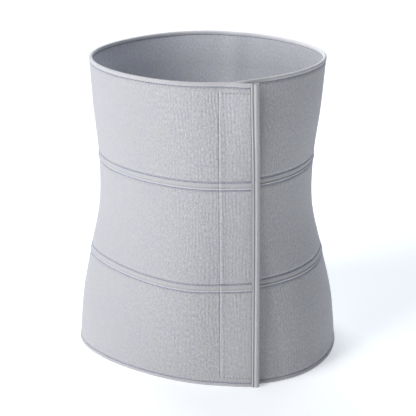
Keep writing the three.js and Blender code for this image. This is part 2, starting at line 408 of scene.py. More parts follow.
@dataclass
class Cloth:
    """The relief of the cloth's faces: broken upright ribs and the outline of the hook tape."""

    wrap: Wrap
    rib_pitch: float = 3.2 * MM
    rib_height: float = 0.14 * MM
    rib_drift: float = 0.5
    streak_height: float = 0.08 * MM
    streak_cell: tuple[float, float] = (1.5 * MM, 6.5 * MM)
    shift_cell: tuple[float, float] = (14 * MM, 24 * MM)
    patch_cell: tuple[float, float] = (6 * MM, 14 * MM)
    busiest: float = 46 * MM
    busy_half: float = 104 * MM
    calm_share: float = 0.3
    under_share: float = 0.75
    under_from: float = 100 * MM
    under_to: float = 200 * MM
    plateau: float = 0.22 * MM
    plateau_lead: float = 0.3 * MM
    ridge: float = 0.32 * MM
    ridge_lead: float = 0.2 * MM
    ridge_rise: float = 0.6 * MM
    ridge_width: float = 1.5 * MM
    ridge_fall: float = 5.6 * MM
    # Painted highlight on the tape's ridge
    ridge_pale: float = 0.06
    groove: float = 0.28 * MM
    groove_lead: float = 0.5 * MM
    groove_half: float = 0.7 * MM
    # Painted shade in the tape's groove
    groove_dark: float = 0.08
    tape_inset: float = 9.7 * MM
    tape_soft: float = 0.5 * MM
    tape_reach: float = 37.2 * MM
    tape_lean: float = 0.9 * MM
    tape_pale: float = 0.03
    # Painted light: across the front, darker low down and paler towards the top
    climb: float = 0.13
    climb_level: float = 0.45
    climb_middle: float = 52 * MM
    climb_half: float = 120 * MM
    # Painted light and shade on the lining: palest at the rim and on the left, darker deeper down
    lining_rim: float = 1.58
    lining_fall: float = 0.43
    lining_depth: float = 34 * MM
    lining_side: float = 0.27
    lining_most: float = 1.64

    def __post_init__(self) -> None:
        """Draws the noises that break up the ribs."""
        self.streaks = LatticeNoise(21, *self.streak_cell)
        self.shift = LatticeNoise(22, *self.shift_cell)
        self.patches = LatticeNoise(23, *self.patch_cell)

    def tape_edge(self, level: Array) -> Array:
        """How far round the wrap the hook tape's left edge lies, upright though the corner tucks."""
        lean = self.tape_lean * level / HEIGHT
        return self.wrap.length - self.tape_reach + lean + self.wrap.tuck(level)

    def tape_lines(self, along: Array, level: Array) -> tuple[Array, Array, Array]:
        """Shares of the tape's height, of the ridge along its left edge and of the groove beside it.

        Args:
            along: Distances round the wrap.
            level: Heights above the hem.

        Returns:
            The three shares, from 0 to 1.
        """
        low, high, soft = self.tape_inset, HEIGHT - self.tape_inset, self.tape_soft
        tall = ease(level, low - soft, low + soft) * (1 - ease(level, high - soft, high + soft))
        edge = self.tape_edge(level)
        ridge = ease(along, edge - self.ridge_lead, edge + self.ridge_rise)
        ridge = ridge * (1 - ease(along, edge + self.ridge_width, edge + self.ridge_fall))
        groove = bump(along, edge - self.groove_lead, self.groove_half)
        return tall, tall * ridge, tall * groove

    def tone(self, along: Array, level: Array) -> Array:
        """Colour of the outer face: paler over the tape, a painted highlight on its ridge, painted shade
        in its groove.

        The flap also pales evenly from its hem to its top as painted light, and the under layer has
        painted shade beside the flap's edge.

        Args:
            along: Distances round the wrap.
            level: Heights above the hem.

        Returns:
            Factors on the colour.
        """
        tall, ridge, groove = self.tape_lines(along, level)
        edge = self.tape_edge(level)
        paler = self.tape_pale * tall * ease(along, edge, edge + self.ridge_width)
        # Painted light: darker low down and paler towards the top across the front
        front = bump(along, self.wrap.length - self.climb_middle, self.climb_half)
        climb = self.climb * (level / HEIGHT - self.climb_level) * front
        # Painted highlight on the ridge and painted shade in the groove
        tone = 1 + paler + climb + self.ridge_pale * ridge**3 - self.groove_dark * groove
        return tone * self.wrap.shade(along, level)

    def busy(self, along: Array) -> Array:
        """How strongly the ribs show: most across the front, less on the under layer, least behind.

        Args:
            along: Distances round the wrap.

        Returns:
            Strengths from 0 to 1.
        """
        front = bump(along, self.wrap.length - self.busiest, self.busy_half)
        under = self.under_share * (1 - ease(along, self.under_from, self.under_to))
        return self.calm_share + (1 - self.calm_share) * np.maximum(front, under)

    def ribs(self, along: Array, level: Array) -> Array:
        """Height of the ribs: a cosine that drifts and comes and goes in patches, plus streaks.

        Args:
            along: Distances round the wrap.
            level: Heights above the hem.

        Returns:
            Heights in metres.
        """
        drift = self.rib_drift * self.shift.read(along, level)
        wave = np.cos(2 * math.pi * (along / self.rib_pitch + drift))
        patch = 0.5 + 0.5 * self.patches.read(along, level)
        rib = self.rib_height * wave * patch + self.streak_height * self.streaks.read(along, level)
        return rib * self.busy(along)

    def lining(self, along: Array, level: Array) -> Array:
        """Painted light and shade on the lining: palest at the rim and on the left, darker deeper in the
        tube.

        Args:
            along: Distances round the wrap.
            level: Heights above the hem.

        Returns:
            Factors on the colour.
        """
        deep = np.clip((HEIGHT - level) / self.lining_depth, 0, 1)
        side = np.cos(self.wrap.turns(along, level))
        tone = (self.lining_rim - self.lining_fall * deep) * (1 - self.lining_side * side)
        return np.minimum(tone, self.lining_most)

    def tape(self, along: Array, level: Array) -> Array:
        """Relief of the hook tape behind the flap: a raised field, a ridge on its edge and a groove.

        Args:
            along: Distances round the wrap.
            level: Heights above the hem.

        Returns:
            Heights in metres.
        """
        tall, ridge, groove = self.tape_lines(along, level)
        edge = self.tape_edge(level)
        inside = ease(along, edge - self.plateau_lead, edge + self.ridge_rise)
        return self.plateau * tall * inside + self.ridge * ridge - self.groove * groove


@dataclass(frozen=True)
class Finish:
    """A cloth's finish: its two colours, grain, weave and sheen, made as a node material.

    The cells of each noise are counted to the metre, across the cloth and up it.
    """

    name: str
    pale: tuple[float, float, float]
    cool: tuple[float, float, float]
    roughness: float = 0.9
    specular: float = 0.25
    sheen: float = 0.25
    sheen_roughness: float = 0.5
    sheen_tint: tuple[float, float, float] = (0.86, 0.9, 1.0)
    noise_detail: float = 2
    patch_cells: tuple[float, float] = (130, 65)
    patch_range: tuple[float, float] = (0.38, 0.62)
    streak_cells: tuple[float, float] = (680, 300)
    streak_share: float = 0.78
    grain_cells: tuple[float, float] = (900, 950)
    grain_share: float = 0.95
    rough_cells: tuple[float, float] = (1500, 900)
    rough_share: float = 0.7
    weave_pitch: float = 0.55 * MM
    weave_distortion: float = 1.2
    weave_detail: float = 1
    weave_detail_scale: float = 0.6
    weave_bump: float = 0.35
    weave_height: float = 0.12 * MM
    lining_tint: tuple[float, float, float] = (0.977, 0.996, 1.018)

    def material(self) -> bpy.types.Material:
        """Builds the material, whose patterns follow the cloth through its UV map in metres.

        Patches of the two colours are blended by slow noise, and the lining, where U is above 1,
        is tinted. Upright streaks and fine grain vary the colour by the piece's own attribute
        "busy", its attribute "tone", which carries painted light and shade, scales it, and a weave
        of crossed waves with grain gives the bump.

        Returns:
            The material.
        """
        made = bpy.data.materials.new(self.name)
        made.use_nodes = True
        nodes, links = made.node_tree.nodes, made.node_tree.links
        shader = nodes["Principled BSDF"]
        shader.inputs["Roughness"].default_value = self.roughness
        shader.inputs["Specular IOR Level"].default_value = self.specular
        shader.inputs["Sheen Weight"].default_value = self.sheen
        shader.inputs["Sheen Roughness"].default_value = self.sheen_roughness
        shader.inputs["Sheen Tint"].default_value = (*self.sheen_tint, 1)
        uv = nodes.new("ShaderNodeTexCoord").outputs["UV"]

        def noise(cells: tuple[float, float]) -> bpy.types.NodeSocket:
            """Noise on the cloth.

            Args:
                cells: How many cells it has to the metre, across and up.

            Returns:
                The noise's output.
            """
            mapping = nodes.new("ShaderNodeMapping")
            mapping.inputs["Scale"].default_value = (*cells, 1)
            links.new(uv, mapping.inputs["Vector"])
            texture = nodes.new("ShaderNodeTexNoise")
            texture.inputs["Scale"].default_value = 1
            texture.inputs["Detail"].default_value = self.noise_detail
            links.new(mapping.outputs["Vector"], texture.inputs["Vector"])
            return texture.outputs["Fac"]

        def waves(turned: bool) -> bpy.types.NodeSocket:
            """Fine waves of the weave.

            Args:
                turned: Whether they follow one another up the cloth, and not across it.

            Returns:
                The waves' output.
            """
            texture = nodes.new("ShaderNodeTexWave")
            texture.bands_direction = "Y" if turned else "X"
            texture.inputs["Scale"].default_value = 1 / (self.weave_pitch * WAVE_SCALE)
            texture.inputs["Distortion"].default_value = self.weave_distortion
            texture.inputs["Detail"].default_value = self.weave_detail
            texture.inputs["Detail Scale"].default_value = self.weave_detail_scale
            links.new(uv, texture.inputs["Vector"])
            return texture.outputs["Fac"]

        def own(name: str) -> bpy.types.NodeSocket:
            """One of the piece's own attributes.

            Args:
                name: The attribute's name.

            Returns:
                The attribute's output.
            """
            node = nodes.new("ShaderNodeAttribute")
            node.attribute_name = name
            return node.outputs["Fac"]

        def step(
            kind: str, first: bpy.types.NodeSocket, second: bpy.types.NodeSocket | float, third: float = 0
        ) -> bpy.types.NodeSocket:
            """One step of arithmetic.

            Args:
                kind: The kind of step.
                first: The first input.
                second: The second input, or its value.
                third: The third input's value.

            Returns:
                The result's output.
            """
            node = nodes.new("ShaderNodeMath")
            node.operation = kind
            links.new(first, node.inputs[0])
            if isinstance(second, float):
                node.inputs[1].default_value = second
            else:
                links.new(second, node.inputs[1])
            node.inputs[2].default_value = third
            return node.outputs[0]

        def swing(cells: tuple[float, float], share: float) -> bpy.types.NodeSocket:
            """Noise scaled to its share and centred on 0."""
            return step("MULTIPLY_ADD", noise(cells), share, -share / 2)

        patches = nodes.new("ShaderNodeMapRange")
        patches.inputs["From Min"].default_value = self.patch_range[0]
        patches.inputs["From Max"].default_value = self.patch_range[1]
        links.new(noise(self.patch_cells), patches.inputs["Value"])
        blend = nodes.new("ShaderNodeMix")
        blend.data_type = "RGBA"
        blend.inputs["A"].default_value = (*self.pale, 1)
        blend.inputs["B"].default_value = (*self.cool, 1)
        links.new(patches.outputs["Result"], blend.inputs["Factor"])
        parts = nodes.new("ShaderNodeSeparateXYZ")
        links.new(uv, parts.inputs[0])
        lined = nodes.new("ShaderNodeMix")
        lined.data_type = "RGBA"
        lined.blend_type = "MULTIPLY"
        lined.inputs["B"].default_value = (*self.lining_tint, 1)
        links.new(step("GREATER_THAN", parts.outputs["X"], 1.0), lined.inputs["Factor"])
        links.new(blend.outputs["Result"], lined.inputs["A"])
        streaks = swing(self.streak_cells, self.streak_share)
        grain = swing(self.grain_cells, self.grain_share)
        pattern = step("MULTIPLY_ADD", step("ADD", streaks, grain), own("busy"), 1)
        shaded = nodes.new("ShaderNodeVectorMath")
        shaded.operation = "SCALE"
        links.new(lined.outputs["Result"], shaded.inputs[0])
        links.new(step("MULTIPLY", pattern, own("tone")), shaded.inputs["Scale"])
        links.new(shaded.outputs[0], shader.inputs["Base Color"])

        weave = step("MULTIPLY", waves(False), waves(True))
        rough = step("MULTIPLY", noise(self.rough_cells), self.rough_share)
        relief = nodes.new("ShaderNodeBump")
        relief.inputs["Strength"].default_value = self.weave_bump
        relief.inputs["Distance"].default_value = self.weave_height
        links.new(step("ADD", weave, rough), relief.inputs["Height"])
        links.new(relief.outputs["Normal"], shader.inputs["Normal"])
        return made


class Look(Enum):
    """The finishes of the binder's pieces."""

    PANEL = Finish("elastic_cloth", (0.561, 0.5535, 0.5675), (0.5445, 0.5425, 0.5735))
    BAND = Finish(
        "seam_cloth", (0.573, 0.562, 0.574), (0.55, 0.5485, 0.578), streak_share=0.25, grain_share=0.4,
    )
    BINDING = Finish(
        "binding_cloth", (0.596, 0.584, 0.597), (0.574, 0.569, 0.596), streak_share=0.08, grain_share=0.25,
    )
    HOOK = Finish(
        "hook_tape", (0.16, 0.165, 0.175), (0.13, 0.14, 0.155), weave_pitch=1.1 * MM, weave_bump=0.8,
    )
    THREAD = Finish(
        "navy_thread", (0.165, 0.18, 0.285), (0.135, 0.15, 0.25), roughness=0.6, weave_pitch=0.25 * MM,
    )
    GREY_THREAD = Finish(
        "grey_thread", (0.24, 0.255, 0.29), (0.2, 0.215, 0.255), roughness=0.6, weave_pitch=0.25 * MM,
    )


# The material of each look, filled by main before any piece is built
MATERIALS: dict[Look, bpy.types.Material] = {}


def make_mesh(
    name: str, points: Array, faces: Array, uvs: Array, material: bpy.types.Material,
    tone: Array | float = 1.0, busy: Array | float = 1.0,
) -> bpy.types.Object:
    """Puts points and quads or triangles into a smooth mesh object with a UV map in metres.

    Args:
        name: The piece's name.
        points: Points in space, one row each.
        faces: Corner numbers, one row a face.
        uvs: The UV of each point.
        material: The piece's material.
        tone: Factor on the colour at each point.
        busy: Strength of the cloth's pattern at each point.

    Returns:
        The object, at the origin and unturned.
    """
    mesh = bpy.data.meshes.new(name)
    sides = faces.shape[1]
    mesh.vertices.add(len(points))
    mesh.vertices.foreach_set("co", points.astype(np.float32).ravel())
    mesh.loops.add(faces.size)
    mesh.loops.foreach_set("vertex_index", faces.astype(np.int32).ravel())
    mesh.polygons.add(len(faces))
    mesh.polygons.foreach_set("loop_start", np.arange(0, faces.size, sides, dtype=np.int32))
    mesh.update(calc_edges=True)
    layer = mesh.uv_layers.new(name="cloth")
    layer.data.foreach_set("uv", uvs[faces.ravel()].astype(np.float32).ravel())
    for key, values in (("tone", tone), ("busy", busy)):
        attribute = mesh.attributes.new(key, "FLOAT", "POINT")
        attribute.data.foreach_set("value", np.broadcast_to(values, len(points)).astype(np.float32))
    mesh.polygons.foreach_set("use_smooth", np.ones(len(faces), dtype=bool))
    mesh.set_sharp_from_angle(angle=SHARP_ANGLE)
    mesh.materials.append(material)
    mesh.validate()
    made = bpy.data.objects.new(name, mesh)
    bpy.context.scene.collection.objects.link(made)
    return made


def facing_out(points: Array, faces: Array) -> Array:
    """Turns the faces round if together they enclose a negative volume.

    The volume is the sum, over the triangles of each face from its first corner, of that corner's
    dot product with the cross product of the other two.

    Args:
        points: Points in space.
        faces: Corner numbers of the faces, triangles or quads.

    Returns:
        Faces that point outwards.
    """
    corners = [points[faces[:, k]] for k in range(faces.shape[1])]
    crossed = sum(np.cross(second, third) for second, third in zip(corners[1:], corners[2:]))
    volume = np.einsum("ij,ij->i", corners[0], crossed).sum()
    return faces[:, ::-1] if volume < 0 else faces


@dataclass
class Loft:
    """A closed solid swept along stations: an outer chain and an inner chain of equally many points."""

    name: str
    outer: Array
    inner: Array
    outer_uv: Array
    inner_uv: Array
    outer_tone: Array | float = 1.0
    inner_tone: Array | float = 1.0
    busy: Array | float = 1.0
    inner_busy: Array | float = 1.0

    def build(self, material: bpy.types.Material) -> bpy.types.Object:
        """Joins each station's loop to the next, and closes both ends with strips between the chains.

        Args:
            material: The piece's material.

        Returns:
            The object.
        """
        stations, count = self.outer.shape[:2]
        ring = 2 * count
        points = np.concatenate([self.outer, self.inner[:, ::-1]], 1).reshape(-1, 3)
        uvs = np.concatenate([self.outer_uv, self.inner_uv[:, ::-1]], 1).reshape(-1, 2)
        row = np.arange(stations - 1)[:, None] * ring
        k = np.arange(ring)[None, :]
        ahead = (k + 1) % ring
        walls = np.stack([row + k, row + ahead, row + ring + ahead, row + ring + k], -1).reshape(-1, 4)
        k = np.arange(count - 1)
        near = np.stack([k, ring - 1 - k, ring - 2 - k, k + 1], -1)
        far = near[:, ::-1] + (stations - 1) * ring
        faces = facing_out(points, np.concatenate([walls, near, far]))
        tone = self.ring_values(self.outer_tone, self.inner_tone)
        busy = self.ring_values(self.busy, self.inner_busy)
        return make_mesh(self.name, points, faces, uvs, material, tone, busy)

    def ring_values(self, outer: Array | float, inner: Array | float) -> Array:
        """Values at every point: each station's outer chain, then its inner chain turned round.

        Args:
            outer: Values on the outer chains.
            inner: Values on the inner chains.

        Returns:
            One value to each point.
        """
        shape = self.outer.shape[:2]
        chains = [np.broadcast_to(outer, shape), np.broadcast_to(inner, shape)[:, ::-1]]
        return np.concatenate(chains, 1).ravel()


def dress(made: bpy.types.Object, slot: str, *nodes: str) -> bpy.types.Object:
    """Hides the CAD nodes that a finished piece replaces and attaches it to the body it rides on.

    Args:
        made: The piece.
        slot: Not used.
        nodes: CAD nodes that it replaces.

    Returns:
        The same piece.
    """
    if nodes:
        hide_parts(*nodes)
    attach(made, "root")
    log.info("%s: %d faces", made.name, len(made.data.polygons))
    return made


@dataclass
class Panel:
    """One elastic panel between two levels, tucked into the bindings and lapped under the bands."""

    name: str
    low: float
    high: float
    wrap: Wrap
    cloth: Cloth
    columns: int = 1050
    rows: int = 34
    fine_mm: tuple[float, float, float] = (-1.6, 6.4, 0.25)
    tuck: float = 1.2 * MM
    lap_depth: float = 1.3 * MM
    step_width: float = 0.04 * MM
    end_step_width: float = 0.05 * MM
    round_width: float = 0.3 * MM
    outer_round: float = 0.15 * MM
    inner_round: float = 0.1 * MM
    soft_from: float = -0.1 * MM
    soft_to: float = 3 * MM
    back_share: float = 0.45
    back_shift: float = 0.4
    lining_busy: float = 0.62

    def edge(self, level: float, up: int) -> tuple[list[float], list[float], list[float]]:
        """An edge's levels with the offsets of its outer and inner face there, from the tip inwards.

        Args:
            level: The edge's level.
            up: 1 at a lower edge, -1 at an upper one.

        Returns:
            Levels, outer offsets and inner offsets.
        """
        if level in (0, HEIGHT):
            tip, shoulder, depth = self.tuck, RIM_WIDTH + CREVICE, (WALL - PINCHED_WALL) / 2
            inner = [-WALL + depth, -WALL + depth, -WALL + self.inner_round, -WALL]
        else:
            tip, shoulder, depth = CREVICE, BAND_HALF + CREVICE / 2, self.lap_depth
            inner = [-WALL] * 4
        reach = [tip, shoulder, shoulder + self.step_width, shoulder + self.round_width]
        return [level + up * r for r in reach], [-depth, -depth, -self.outer_round, 0.0], inner

    def stations(self) -> Array:
        """Places of the columns round the wrap: even, closer at the tape's edge, tucked at the ends.

        Returns:
            Distances round the wrap, in rising order.
        """
        length, first = self.wrap.length, END_MARGIN + self.round_width
        even = np.linspace(first, length - END_MARGIN - self.round_width, self.columns)
        fine = self.cloth.tape_edge(np.zeros(1)) + np.arange(*self.fine_mm) * MM
        ends = np.array([self.tuck, END_MARGIN, END_MARGIN + self.end_step_width])
        return np.unique(np.concatenate([even, fine, ends, length - ends]))

    def build(self) -> bpy.types.Object:
        """Lofts the panel: its faces carry the cloth's relief, flattened towards every edge.

        Returns:
            The dressed piece.
        """
        bottom = self.edge(self.low, 1)
        top = self.edge(self.high, -1)
        inside = np.linspace(bottom[0][-1], top[0][-1], self.rows)[1:-1]
        levels = np.array([*bottom[0], *inside, *top[0][::-1]])
        outer = np.array([*bottom[1], *[0.0] * len(inside), *top[1][::-1]])
        inner = np.array([*bottom[2], *[-WALL] * len(inside), *top[2][::-1]])
        u, v = np.meshgrid(self.stations(), levels, indexing="ij")
        from_end = np.minimum(u, self.wrap.length - u)
        open_ends = ease(from_end, END_MARGIN, END_MARGIN + self.round_width)
        from_edge = np.minimum(v - levels[3], levels[-4] - v)
        soft = ease(from_edge, self.soft_from, self.soft_to) * open_ends
        is_open = outer > -self.outer_round / 2
        relief = self.cloth.ribs(u, v) * soft + self.cloth.tape(u, v) * is_open
        back = self.back_share * self.cloth.ribs(u + self.back_shift, v) * soft
        pinch = PINCHED_WALL / WALL
        middle = -WALL / 2
        squeeze = pinch + (1 - pinch) * open_ends
        outer_offset = middle + (outer - middle) * squeeze + relief * open_ends
        inner_offset = middle + (inner - middle) * squeeze - back
        uvs = np.stack([u, v], -1)
        loft = Loft(
            self.name, self.wrap.place(u, v, outer_offset), self.wrap.place(u, v, inner_offset),
            uvs, uvs + (1, 0), self.cloth.tone(u, v), self.cloth.lining(u, v),
            self.cloth.busy(u), self.lining_busy,
        )
        return dress(loft.build(MATERIALS[Look.PANEL]), "elastic_cloth", self.name)


@dataclass
class SeamBand:
    """The band sewn over a lapped seam: a flat upper strip, a fine groove and a raised bead below."""

    name: str
    level: float
    wrap: Wrap
    cloth: Cloth
    columns: int = 1000
    rows: int = 28
    fine_mm: tuple[float, float, float] = (-1.6, 2.6, 0.4)
    edge_steps_mm: tuple[float, float, float] = (0, 0.06, 0.25)
    face_inset: float = 0.45 * MM
    edge_depth: float = 1.0 * MM
    edge_round: float = 0.12 * MM
    back_step: float = 0.02 * MM
    bead_middle: float = -2.0 * MM
    bead_half: float = 1.45 * MM
    bead_height: float = 0.8 * MM
    # Painted highlight on the bead
    bead_pale: float = 0.16
    strip_height: float = 0.3 * MM
    strip_rise: tuple[float, float] = (-0.4 * MM, 0)
    strip_fall: tuple[float, float] = (3.0 * MM, 3.6 * MM)
    groove_middle: float = -0.6 * MM
    groove_half: float = 0.4 * MM
    groove_depth: float = 0.12 * MM
    # Painted shade in the groove
    groove_dark: float = 0.1
    groove_dark_half: float = 0.5 * MM
    stitch_groove: float = 0.12 * MM
    stitch_half: float = 0.6 * MM
    rib_share: float = 0.35

    def build(self) -> bpy.types.Object:
        """Lofts the band: the relief over the seam is a sum of humps and grooves at steady levels.

        Returns:
            The dressed piece.
        """
        half = BAND_HALF - CREVICE / 2
        steps = np.array(self.edge_steps_mm) * MM
        face = np.linspace(-half + self.face_inset, half - self.face_inset, self.rows)
        across = np.concatenate([-half + steps, face, half - steps[::-1]])
        relief = self.bead_height * bump(across, self.bead_middle, self.bead_half)
        rise, fall = ease(across, *self.strip_rise), ease(across, *self.strip_fall)
        relief += self.strip_height * rise * (1 - fall)
        relief -= self.groove_depth * bump(across, self.groove_middle, self.groove_half)
        for side in (-1, 1):
            relief -= self.stitch_groove * bump(across, side * SEAM_STITCH, self.stitch_half)
        relief[[1, -2]] = -self.edge_round
        even = np.linspace(END_MARGIN, self.wrap.length - END_MARGIN, self.columns)
        fine = self.cloth.tape_edge(self.level) + np.arange(*self.fine_mm) * MM
        u, v = np.meshgrid(np.unique(np.concatenate([even, fine])), self.level + across, indexing="ij")
        outer = relief + self.cloth.tape(u, v) + self.rib_share * self.cloth.ribs(u, v)
        outer[:, [0, -1]] = -self.edge_depth
        inner = np.full_like(outer, -self.edge_depth)
        inner[:, 1:-1] -= self.back_step
        uvs = np.stack([u, v], -1)
        # Painted highlight on the bead and painted shade in the groove
        tone = 1 + self.bead_pale * bump(across, self.bead_middle, self.bead_half)
        tone = tone - self.groove_dark * bump(across, self.groove_middle, self.groove_dark_half)
        loft = Loft(
            self.name, self.wrap.place(u, v, outer), self.wrap.place(u, v, inner), uvs, uvs + (1, 0),
            tone * self.cloth.tone(u, v), busy=self.cloth.busy(u),
        )
        return dress(loft.build(MATERIALS[Look.BAND]), "seam_cloth", self.name)


@dataclass
class Fold:
    """A folded binding seen end on: reach runs from the fold towards the cloth, offset outwards."""

    width: float
    bulge: float
    bead: float
    shoulder: float
    stitch: float
    groove: float
    # Painted highlight on the bead and painted shade in the stitches' groove
    pale_bead: float
    dark_groove: float
    ridge: float = 0.0
    ridge_half: float = 0.85 * MM
    # Painted highlight on the ridge
    ridge_pale: float = 0.08
    groove_half: float = 0.65 * MM
    tip_step: float = 0.04 * MM
    tip_round: float = 0.2 * MM
    tip_depth: float = 0.5 * MM
    tip_height: float = 0.02 * MM
    leg_height: float = 0.12 * MM
    leg_slope: float = 0.1 * MM
    leg_points: int = 22
    bead_points: int = 9
    bead_power: float = 0.75
    channel: float = 0.9 * MM
    channel_room: float = 0.3 * MM
    channel_parts: float = 5

    def tone(self, reach: Array) -> Array:
        """Painted light and shade over the fold: a painted highlight on its bead and ridge, painted shade
        in the groove.

        Args:
            reach: Distances from the fold.

        Returns:
            Factors on the colour.
        """
        groove = bump(reach, self.stitch, self.groove_half)
        ridge = bump(reach, self.width - self.ridge_half, self.ridge_half) * (self.ridge > 0)
        bead = 1 - ease(reach, self.bead, self.shoulder)
        return 1 + self.pale_bead * bead + self.ridge_pale * ridge - self.dark_groove * groove

    def chains(self) -> tuple[Array, Array, Array, Array]:
        """The outside of the fold and the channel inside it, both from the outer leg to the inner.

        The face is a full quarter ellipse as far as the bead's crest, sinks by an eased step to the
        shoulder, and is a leg beyond, with a groove along the stitches and, on an end, a thin ridge.
        The channel's points are shared into equal parts, one for its floor and the rest for its walls.

        Returns:
            Reaches and offsets outside, then reaches and offsets of the channel.
        """
        tip = [self.width, self.width - self.tip_step]
        face = np.linspace(self.width - self.tip_round, self.bead, self.leg_points, endpoint=False)
        reach = np.concatenate([tip, face])
        leg = self.leg_height + self.leg_slope * (self.width - reach) / self.width
        leg = leg + self.ridge * bump(reach, self.width - self.ridge_half, self.ridge_half)
        start = ease(reach, self.bead, self.shoulder)
        groove = self.groove * bump(reach, self.stitch, self.groove_half)
        leg = leg * start + self.bulge * (1 - start) - groove
        leg[:2] = -self.tip_depth, self.tip_height
        middle = -WALL / 2
        angle = np.linspace(0, math.pi / 2, self.bead_points)
        bead_reach = self.bead * (1 - np.sin(angle))
        bead_offset = middle + (self.bulge - middle) * np.cos(angle) ** self.bead_power
        reach = np.concatenate([reach, bead_reach[1:]])
        offset = np.concatenate([leg, bead_offset[1:]])
        reach = np.concatenate([reach, reach[-2::-1]])
        offset = np.concatenate([offset, 2 * middle - offset[-2::-1]])
        share = np.linspace(-1, 1, len(reach))
        walls = self.channel_parts - 1
        depth = np.abs(share) * self.channel_parts / walls - 1 / walls
        inner_reach = self.channel + (self.width - self.channel) * depth
        inner_reach = np.clip(inner_reach, self.channel, None)
        half = PINCHED_WALL / 2 + self.channel_room
        inner_offset = middle - half * np.clip(share * self.channel_parts, -1, 1)
        return reach, offset, inner_reach, inner_offset


@dataclass
class RimBinding:
    """The folded binding round the hem or the top rim."""

    name: str
    is_top: bool
    wrap: Wrap
    fold: Fold
    # Factor on the colour of the fold's inside: painted light at the top rim
    inside_tone: float = 1.0
    columns: int = 790

    def build(self) -> bpy.types.Object:
        """Carries the fold round the rim, level with it, with a tone of its own on the inside: painted
        light at the top rim.

        Returns:
            The dressed piece.
        """
        chains = self.fold.chains()
        along = np.linspace(END_MARGIN, self.wrap.length - END_MARGIN, self.columns)
        sides = []
        for chain_reach, chain_offset in (chains[:2], chains[2:]):
            level = HEIGHT - chain_reach if self.is_top else chain_reach
            u, v = np.meshgrid(along, level, indexing="ij")
            sides.append((self.wrap.place(u, v, chain_offset), np.stack([u, v], -1)))
        (outer, outer_uv), (inner, inner_uv) = sides
        # Painted highlight and shade of the fold, painted shade beside the flap's edge, and painted light
        # on the inside
        tone = self.fold.tone(chains[0]) * self.wrap.shade(outer_uv[..., 0], outer_uv[..., 1])
        count = len(chains[0])
        tone = tone * np.where(np.arange(count) > count // 2, self.inside_tone, 1)
        loft = Loft(self.name, outer, inner, outer_uv, inner_uv + (1, 0), tone)
        return dress(loft.build(MATERIALS[Look.BINDING]), "binding_cloth", self.name)


@dataclass
class EndBinding:
    """The folded binding up one end of the wrap, with softly rounded tips."""

    name: str
    is_flap: bool
    wrap: Wrap
    fold: Fold
    rows: int = 150
    tip: float = 0.5 * MM
    tip_shares: tuple[float, ...] = (0, 0.1, 0.3, 0.6)
    tip_pinch: float = 0.2
    pinch_reach: float = 1.5 * MM

    def build(self) -> bpy.types.Object:
        """Carries the fold up the end, drawn in to its middle over the tips by a quarter circle.

        Returns:
            The dressed piece.
        """
        tips = self.tip * np.array(self.tip_shares)
        straight = np.linspace(self.tip, HEIGHT - self.tip, self.rows)
        levels = np.concatenate([tips, straight, HEIGHT - tips[::-1]])
        from_tip = np.clip(np.minimum(levels, HEIGHT - levels) / self.tip, 0, 1)
        draw = 1 - self.tip_pinch + self.tip_pinch * np.sqrt(1 - (1 - from_tip) ** 2)
        draw = draw[:, None]
        chains = self.fold.chains()
        sides = []
        for chain_reach, chain_offset in (chains[:2], chains[2:]):
            reach = np.broadcast_to(chain_reach, (len(levels), len(chain_reach)))
            drawn = self.pinch_reach + (reach - self.pinch_reach) * draw
            reach = np.where(reach < self.pinch_reach, drawn, reach)
            offset = -WALL / 2 + (chain_offset + WALL / 2) * draw
            level = np.broadcast_to(levels[:, None], reach.shape)
            along = self.wrap.length - reach if self.is_flap else reach
            sides.append((self.wrap.place(along, level, offset), np.stack([along, level], -1)))
        (outer, outer_uv), (inner, inner_uv) = sides
        loft = Loft(self.name, outer, inner, outer_uv, inner_uv + (1, 0), self.fold.tone(chains[0]))
        return dress(loft.build(MATERIALS[Look.BINDING]), "binding_cloth", self.name)


@dataclass
class HookTape:
    """The hidden strip of hook tape between the flap and the layer under it."""

    wrap: Wrap
    outer: float = -3.05 * MM
    inner: float = -4.25 * MM
    margin: float = 7.5 * MM
    columns: int = 60
    rows: int = 220
    hook_pitch: float = 1.6 * MM
    hook_height: float = 0.22 * MM
    hook_from: float = 0.8 * MM
    hook_to: float = 1.6 * MM
    edge_depth: float = 0.3 * MM
    edge_width: float = 0.6 * MM

    def build(self) -> bpy.types.Object:
        """Lofts a slab whose face towards the wearer is a field of small hooks in rows.

        The slab follows the flap's inner face, and a hook is a squared sine each way.

        Returns:
            The dressed piece.
        """
        levels = np.linspace(self.margin, HEIGHT - self.margin, self.rows)
        across = np.linspace(0, HOOK_WIDTH, self.columns)
        v, d = np.meshgrid(levels, across, indexing="ij")
        along = self.wrap.length - (END_WIDTH + HOOK_WIDTH - d)
        hooks = np.sin(math.pi * d / self.hook_pitch) ** 2 * np.sin(math.pi * v / self.hook_pitch) ** 2
        edge = np.minimum(np.minimum(d, HOOK_WIDTH - d), np.minimum(v - levels[0], levels[-1] - v))
        hooks = hooks * self.hook_height * ease(edge, self.hook_from, self.hook_to)
        soft = self.edge_depth * (1 - ease(edge, 0, self.edge_width))
        outer = self.wrap.place(along, v, self.outer - soft)
        inner = self.wrap.place(along, v, self.inner + self.hook_height + soft - hooks)
        uvs = np.stack([d, v], -1)
        loft = Loft("hook_strip", outer, inner, uvs, uvs + (1, 0))
        return dress(loft.build(MATERIALS[Look.HOOK]), "hook_tape", "hook_strip")


